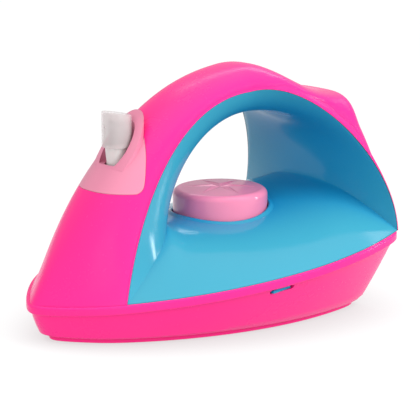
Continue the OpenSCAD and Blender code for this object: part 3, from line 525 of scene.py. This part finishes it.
def coarse_half(w, long, a):
    """The section as the solid has it at the nose or the heel, with nine steps round its back."""
    h = min(FACE_NOSE, 0.3 * long)
    power, back = (NOSE_POWER, NOSE_POWER) if a == 0 else (HEEL_OUT_POWER, HEEL_BACK_POWER)
    reach = w - 0.5 * h - STEP_NOSE
    k = math.hypot(reach, CREST_R) - CREST_R
    pts = [(w, 0), (w - 0.5 * h, h)]
    for j in range(COARSE_STEPS + 1):
        f = math.pi / 2 * j / COARSE_STEPS
        c, s = max(math.cos(f), 0) ** (2 / power), math.sin(f) ** (2 / back)
        pts.append((math.sqrt(max(0, (c * k + CREST_R) ** 2 - CREST_R ** 2)), h + (long - h) * s))
    return np.array(pts)


def eased(p):
    return (np.roll(p, 1, 0) + 2 * p + np.roll(p, -1, 0)) / 4


def finer(p, times=2):
    """Puts a new point between each two, on the curve through its four neighbours."""
    for _ in range(times):
        new = (-np.roll(p, 1, 0) + 9 * p + 9 * np.roll(p, -1, 0) - np.roll(p, -2, 0)) / 16
        p = np.stack([p, new], 1).reshape(-1, p.shape[1])
    return p


def evened(p):
    q = np.vstack([p, p[:1]])
    d = np.r_[0, np.cumsum(np.linalg.norm(np.diff(q, axis=0), axis=1))]
    t = np.linspace(0, d[-1], LOOP_POINTS, endpoint=False)
    return np.stack([np.interp(t, d, q[:, i]) for i in range(2)], 1)


def outward(p):
    t = np.roll(p, -1, 0) - np.roll(p, 1, 0)
    t /= np.linalg.norm(t, axis=1)[:, None]
    return np.stack([t[:, 1], -t[:, 0]], 1)


nose_half = place(coarse_half(EDGE_LOW[1], section_long(0), 0), 0, -1)[[*range(11, 3, -1), 0]]
heel_half = place(coarse_half(HEEL_HALF, section_long(2), 2), 2, -1)[[0, *range(4, 12)]]
side_xs = [mix(HEEL_X, EDGE_LOW_X, 1 - i / SIDE_STEPS) for i in range(1, SIDE_STEPS)]
rim_side = np.vstack([nose_half[:, :2], [(x, -rim_half_at(x)) for x in side_xs], heel_half[:, :2]])
rim_loop = np.vstack([rim_side, rim_side[-2:0:-1] * [1, -1]])
tray_loop = eased(eased(eased(evened(finer(eased(eased(rim_loop)))))))
sole_loop = tray_loop * [SOLE_LONG / BODY_LONG, SOLE_HALF / RIM_HALF] - [SOLE_BACK, 0]
tray_out, sole_out = outward(tray_loop), outward(sole_loop)
low_loop = sole_loop + TRAY_ROUND * sole_out
rim_tops = rim_level(tray_loop[:, 0])


def flat_ring(by, z):
    return np.c_[low_loop + by * sole_out, np.full(len(low_loop), z)]


def wall_ring(f, by):
    return np.c_[mix(low_loop, tray_loop, f) + by * tray_out, mix(TRAY_Z, rim_tops - BEAD_TALL, f)]


def rim_ring(by, down):
    return np.c_[tray_loop + by * tray_out, rim_tops - down]


rings = [flat_ring(-TRAY_ROUND, TRAY_Z)]
for i in range(1, 9):
    f = math.radians(90 * i / 9)
    rings.append(flat_ring(-TRAY_ROUND * (1 - math.sin(f)) - 0.1,
                           TRAY_Z + ROUND_FLATNESS * TRAY_ROUND * (1 - math.cos(f))))
for f in (0.1, 0.18, 0.3, 0.45, 0.6, 0.75, 0.9):
    rings.append(wall_ring(f, WALL_BOW * math.sin(math.pi * min(1, f * 1.1)) + 0.05))
rings += [wall_ring(0.985, 0.02), rim_ring(0.0, BEAD_TALL + 0.05), rim_ring(0.3, BEAD_TALL - 0.1),
          rim_ring(BEAD_OUT - 0.75, BEAD_TALL - 0.18)]
for i in range(7):
    f = math.radians(90 * i / 6)
    rings.append(rim_ring(BEAD_OUT - BEAD_UNDER_R + BEAD_UNDER_R * math.sin(f),
                          BEAD_TALL - 0.2 - 0.7 * (1 - math.cos(f))))
for i in range(9):
    f = math.radians(90 * i / 8)
    rings.append(rim_ring(BEAD_OUT - BEAD_TOP_R + BEAD_TOP_R * math.cos(f),
                          BEAD_TOP_TALL * (1 - math.sin(f))))
rings += [rim_ring(0.25, BEAD_FLAT), rim_ring(-WALL, BEAD_FLAT), wall_ring(1, -2.4), wall_ring(0.6, -2.1),
          wall_ring(0.25, -2.0), flat_ring(-2.4, TRAY_Z + 2.4)]
tray = loft("tray", rings)
for side in (-1, 1):
    slot = []
    for k in range(SLOT_POINTS):
        f = 2 * math.pi * (k + 0.5) / SLOT_POINTS
        u, v = SLOT_R * math.cos(f) + math.copysign(SLOT_HALF, math.cos(f)), SLOT_R * math.sin(f)
        slot.append((CATCH_X + u, CATCH_Z + v + u * RIM_RISE))
    carve(tray, prism("cut", slot, "y", *sorted(side * y for y in SLOT_CUT)))
dress(tray, "iron", HOT_PINK, "hot_pink_shell", "base_tray")

# --- Sole ---
# The flat sole plate under the tray, hot pink like it, its lower edge slightly rounded, with a
# clearance hole round each of the five case screws.
SOLE_EDGE = ((0.5, 0), (0.22, 0.06), (0.06, 0.22), (0, 0.5), (0, 2.2), (0.12, SOLE_THICK))
SCREW_PLACES = ((2.4, 36.7), (2.4, -36.7), (63.3, 36.7), (63.3, -36.7), (-74, 0))
SCREW_HOLE_R, SCREW_HOLE_CUT = 3.4, (-1, 4)
sole = loft("sole", [np.c_[sole_loop - by * sole_out, np.full(len(sole_loop), z)] for by, z in SOLE_EDGE])
for x, y in SCREW_PLACES:
    carve(sole, prism("cut", circle(SCREW_HOLE_R, x, y, steps=48), "z", *SCREW_HOLE_CUT))
dress(sole, "iron", HOT_PINK, "hot_pink_shell", "sole_plate")

# --- Dial ---
# The round temperature dial, a light pink moulding with a rounded shoulder and a sunk star of six pointed
# rays in its slightly crowned top. It turns freely on the spindle that goes down through the deck.
DIAL_PINK = plastic("dial_pink_plastic", (0.80, 0.235, 0.385), rough=0.17, deep=(0.70, 0.16, 0.31), coat=0.0)
DIAL_R, DIAL_LOW, SHOULDER_R = 26.0, 50.8, 3.6
DIAL_CROWN, CROWN_FALL, CROWN_R, CROWN_STEPS = 67.2, 1.0, 21.5, 10
STAR_LONG, STAR_HALF, STAR_DEEP, STAR_TURN, STAR_ABOVE = 20.5, 3.2, 0.75, 22, 2
SKIRT_R, ROOF_Z, BOSS_R, BOSS_LOW = 23.6, 64.4, 7.0, 50.5
SPINDLE_R, SPINDLE_LOW, SCREW_R, SCREW_TOP = 4.0, 35.3, 1.45, 46.3
TURN_STEPS = 180


def crown(r):
    return DIAL_CROWN - CROWN_FALL * (r / CROWN_R) ** 2


line = [(CROWN_R * k / CROWN_STEPS, crown(CROWN_R * k / CROWN_STEPS)) for k in range(CROWN_STEPS + 1)]
for t in np.linspace(0.1, math.pi / 2, 10):
    line.append((DIAL_R - SHOULDER_R + SHOULDER_R * math.sin(t),
                 crown(CROWN_R) - SHOULDER_R * (1 - math.cos(t))))
line += [(DIAL_R, 60), (DIAL_R, DIAL_LOW + 0.4), (DIAL_R - 0.15, DIAL_LOW + 0.05), (DIAL_R - 0.4, DIAL_LOW),
         (SKIRT_R, DIAL_LOW), (SKIRT_R, ROOF_Z), (BOSS_R, ROOF_Z), (BOSS_R, BOSS_LOW), (SPINDLE_R, BOSS_LOW),
         (SPINDLE_R, SPINDLE_LOW), (SCREW_R, SPINDLE_LOW), (SCREW_R, SCREW_TOP), (0.0, SCREW_TOP)]
angles = [2 * math.pi * i / TURN_STEPS for i in range(TURN_STEPS)]
dial = loft("dial", [[(DIAL_X + r * math.cos(f), r * math.sin(f), z) for r, z in line] for f in angles],
            ring=True)
corner_r = STAR_HALF / (0.5 + math.cos(math.pi / 6) * STAR_HALF / STAR_LONG)
star = []
for k in range(12):
    f, r = math.radians(STAR_TURN + 30 * k), corner_r if k % 2 else STAR_LONG
    star.append((DIAL_X + r * math.cos(f), r * math.sin(f), crown(r)))
star_bottom = [(DIAL_X, 0, DIAL_CROWN - STAR_DEEP)] * len(star)
star_lid = [(x, y, DIAL_CROWN + STAR_ABOVE) for x, y, _ in star]
carve(dial, loft("cut", [star_bottom, star, star_lid]))
dress(dial, "dial", DIAL_PINK, "light_pink_trim", "dial_knob", sharp=7)

# --- Spray cap ---
# The smoke-clear cap that is pushed down to spray: a thin-walled cup with a slanting top, a
# socket in the middle for the pump's stem and a small outlet towards the nose.
SMOKE = plastic("smoke_clear_plastic", (0.74, 0.67, 0.67), rough=0.14, deep=(0.68, 0.61, 0.61),
                clear=0.6, grain=0.004, coat=0.2, hollow_shade=0.0)
CAP_R, CAP_WALL, CAP_TOP, CAP_LOW, CAP_MID, CAP_STEPS = 7.9, 1.0, 116.3, 97.0, 105, 96
CAP_IN_R, SLOPE, AXIS_R = CAP_R - CAP_WALL, math.tan(math.radians(10)), 0.01
SOCKET_R, SOCKET_ROOF = 5.2, 111.4
STEM_SEAT_R, STEM_SEAT_LOW, STEM_BORE_R, STEM_BORE_TOP = 3.2, 109.5, 1.6, 112.5
OUTLET_R, OUTLET_Z, OUTLET_FROM, OUTLET_TO = 0.7, 108, 9, 4.5
CAP_FLAT = [(AXIS_R, 0), (3, 0), (5.4, 0), (6.6, 0)]
CAP_ROUND = [(CAP_IN_R + CAP_WALL * math.sin(t), CAP_WALL * (math.cos(t) - 1))
             for t in np.linspace(0, math.pi / 2, 7)]
cap_rows = []
for i in range(CAP_STEPS):
    f = 2 * math.pi * i / CAP_STEPS

    def slanted(top, points):
        return [(r, top - SLOPE * (r * math.cos(f) + CAP_R) + h) for r, h in points]

    line = slanted(CAP_TOP, CAP_FLAT + CAP_ROUND)
    line += [(CAP_R, CAP_MID), (CAP_R, CAP_LOW + 0.35), (CAP_R - 0.15, CAP_LOW + 0.1), (CAP_R - 0.4, CAP_LOW),
             (CAP_IN_R + 0.2, CAP_LOW + 0.05), (CAP_IN_R, CAP_LOW + 0.3), (CAP_IN_R, CAP_MID)]
    line += slanted(CAP_TOP - CAP_WALL, [(CAP_IN_R, -0.8), (CAP_IN_R - 0.2, -0.25), (CAP_IN_R - 0.7, 0),
                                         (SOCKET_R + 0.05, 0)])
    line += [(SOCKET_R, SOCKET_ROOF), (STEM_SEAT_R + 0.05, SOCKET_ROOF), (STEM_SEAT_R, STEM_SEAT_LOW),
             (STEM_BORE_R + 0.05, STEM_SEAT_LOW), (STEM_BORE_R, STEM_BORE_TOP), (AXIS_R, STEM_BORE_TOP)]
    cap_rows.append([(SPRAY_X + r * math.cos(f), r * math.sin(f), z) for r, z in line])
cap = loft("cap", cap_rows, ring=True)
outlet = [(OUTLET_R * math.cos(f), OUTLET_Z + OUTLET_R * math.sin(f)) for f in angles[::10]]
carve(cap, prism("cut", outlet, "x", SPRAY_X - OUTLET_FROM, SPRAY_X - OUTLET_TO))
dress(cap, "spray", SMOKE, "clear_smoke", "spray_cap")

# --- Return spring ---
# The plated steel coil between the pump's neck and the cap, wound from one round wire. It stands on
# the neck. The real coil shortens by as much as the cap goes down; here it is drawn at one length only.
STEEL = plastic("plated_steel", (0.62, 0.63, 0.65), rough=0.28, coat=0.0)
STEEL.node_tree.nodes["Principled BSDF"].inputs["Metallic"].default_value = 1.0
SPRING_LOW, SPRING_HIGH, COIL_R, WIRE_R, CAP_TRAVEL = 98.6, 111.3, 4.4, 0.45, 4.5
COIL_TURNS, COIL_STEPS, WIRE_SKIP = 6, 24, 18
coil_rows = []
for i in range(COIL_STEPS * COIL_TURNS + 1):
    t = 2 * math.pi * i / COIL_STEPS
    z = mix(SPRING_LOW + WIRE_R, SPRING_HIGH - WIRE_R, i / (COIL_STEPS * COIL_TURNS))
    wire = [(COIL_R + WIRE_R * math.cos(f), z + WIRE_R * math.sin(f)) for f in angles[::WIRE_SKIP]]
    coil_rows.append([(SPRAY_X + r * math.cos(t), r * math.sin(t), h) for r, h in wire])
spring = loft("return_spring", coil_rows)
dress(spring, "iron", STEEL, "bright_steel", "pump_spring")
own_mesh(spring)

# --- Pump, bottle and small parts ---
# What sits inside: the greyish pump housing whose neck shows under the cap, its stem, collar and
# ball, the bottle with its dip tube, the dial's bushing, wheel, leaf, washer and screws. Their
# solids are right as they are and only take their real materials.
MILK = plastic("milky_plastic", (0.66, 0.62, 0.61), rough=0.32, deep=(0.58, 0.54, 0.53), glow=0.2)
RUBBER = plastic("grey_rubber_seal", (0.06, 0.06, 0.065), rough=0.6, coat=0.0)
inside = {
    "pump_body": MILK, "pump_stem": MILK, "pump_collar": MILK, "dial_bushing": MILK, "detent_wheel": MILK,
    "water_bottle": SMOKE, "dip_tube": SMOKE, "bottle_gasket": RUBBER, "check_ball": STEEL,
    "click_spring": STEEL, "dial_washer": STEEL, "dial_screw": STEEL, "case_screws": STEEL,
}
for name, material in inside.items():
    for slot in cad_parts[name].material_slots:
        slot.material = material

# --- Studio ---
# White paper with a painted shadow under the iron, its glow dimmed by ambient occlusion, a pale surround that
# is brighter overhead, two soft lamps in front, and three strips that show only as highlights. The camera
# stands where the photo's did.
FLOOR_HALF, FLOOR_DROP = 3, 0.0002
FLOOR_TONE, FLOOR_ROUGH, SHADOW_SAMPLES, SHADOW_REACH = 0.1, 0.9, 12, 0.05
FLOOR_SHADOW, FLOOR_WHITE, FLOOR_BOUNCE = 0.62, 0.93, 0.72
floor_mesh = bpy.data.meshes.new("floor")
corners = ((-1, -1), (1, -1), (1, 1), (-1, 1))
floor_mesh.from_pydata([(x * FLOOR_HALF, y * FLOOR_HALF, -FLOOR_DROP) for x, y in corners], [],
                       [(0, 1, 2, 3)])
floor = bpy.data.objects.new("floor", floor_mesh)
bpy.context.scene.collection.objects.link(floor)
floor_mat = bpy.data.materials.new("floor_paper")
floor_mat.use_nodes = True
nt = floor_mat.node_tree
paper = nt.nodes["Principled BSDF"]
for key, value in (("Base Color", (FLOOR_TONE, FLOOR_TONE, FLOOR_TONE, 1)), ("Roughness", FLOOR_ROUGH),
                   ("Specular IOR Level", 0.0), ("Emission Color", (1, 1, 1, 1))):
    paper.inputs[key].default_value = value
# Painted shadow: the floor's glow, as the camera and reflections see it, dims with ambient occlusion under
# the iron.
hollow = nt.nodes.new("ShaderNodeAmbientOcclusion")
hollow.samples = SHADOW_SAMPLES
hollow.inputs["Distance"].default_value = SHADOW_REACH
shade = nt.nodes.new("ShaderNodeMapRange")
for key, value in (("From Min", 0.0), ("From Max", 0.9), ("To Min", FLOOR_SHADOW), ("To Max", FLOOR_WHITE)):
    shade.inputs[key].default_value = value
nt.links.new(hollow.outputs["AO"], shade.inputs["Value"])


def seen_by(ray, normal, other, target):
    """Feeds a strength to the target: one value for most rays, another for one kind of ray."""
    path = nt.nodes.new("ShaderNodeLightPath")
    choice = nt.nodes.new("ShaderNodeMix")
    nt.links.new(path.outputs[ray], choice.inputs[0])
    nt.links.new(normal, choice.inputs[2])
    choice.inputs[3].default_value = other
    nt.links.new(choice.outputs[0], target)


seen_by("Is Diffuse Ray", shade.outputs["Result"], FLOOR_BOUNCE, paper.inputs["Emission Strength"])
floor_mesh.materials.append(floor_mat)

SKY_SIDE, SKY_TOP, SKY_WHITE = 0.55, 1.5, 1.0
world = bpy.data.worlds.new("studio")
world.use_nodes = True
nt = world.node_tree
sky = nt.nodes["Background"]
sky.inputs["Color"].default_value = (1, 1, 1, 1)
where = nt.nodes.new("ShaderNodeTexCoord")
split = nt.nodes.new("ShaderNodeSeparateXYZ")
nt.links.new(where.outputs["Generated"], split.inputs[0])
rise = nt.nodes.new("ShaderNodeMapRange")
rise.interpolation_type = "SMOOTHSTEP"
for key, value in (("From Min", 0.62), ("From Max", 0.95), ("To Min", SKY_SIDE), ("To Max", SKY_TOP)):
    rise.inputs[key].default_value = value
nt.links.new(split.outputs["Z"], rise.inputs["Value"])
seen_by("Is Camera Ray", rise.outputs["Result"], SKY_WHITE, sky.inputs["Strength"])
bpy.context.scene.world = world


def soft_light(name, spot, target, size, power):
    data = bpy.data.lights.new(name, "AREA")
    data.shape, data.size, data.size_y, data.energy = "RECTANGLE", size[0], size[1], power
    o = bpy.data.objects.new(name, data)
    bpy.context.scene.collection.objects.link(o)
    o.location = spot
    o.rotation_euler = (Vector(target) - Vector(spot)).to_track_quat("-Z", "Y").to_euler()
    o.visible_glossy = o.visible_camera = False
    return o


soft_light("right", (0.55, -1.0, 0.75), (0, 0, 0.05), size=(0.7, 0.7), power=13)
soft_light("front", (-1.0, -0.75, 0.5), (0, 0, 0.06), size=(0.6, 0.6), power=6)
for name, spot, size, power in (("strip_back", (0.62, 0.60, 0.90), (1.0, 0.10), 1.3),
                                ("strip_high", (0.86, 0.22, 0.80), (1.0, 0.15), 1.2),
                                ("strip_side", (1.13, -0.60, 0.22), (0.08, 0.6), 3.5)):
    strip = soft_light(name, spot, (0, 0, 0.06), size, power)
    strip.visible_glossy, strip.visible_diffuse = True, False

CAMERA_AT, AIM = Vector((-0.5858, -0.7656, 0.2755)), Vector((0.019994, 0.0, 0.05424))
FOCAL_PIXELS, PHOTO_PIXELS, SENSOR = 1829.5, 420, 36
camera_data = bpy.data.cameras.new("camera")
camera_data.sensor_width = SENSOR
camera_data.lens = FOCAL_PIXELS / PHOTO_PIXELS * SENSOR
camera = bpy.data.objects.new("camera", camera_data)
bpy.context.scene.collection.objects.link(camera)
camera.location = CAMERA_AT
camera.rotation_euler = (AIM - CAMERA_AT).to_track_quat("-Z", "Y").to_euler()
bpy.context.scene.camera = camera
bpy.context.scene.view_settings.view_transform = "Standard"
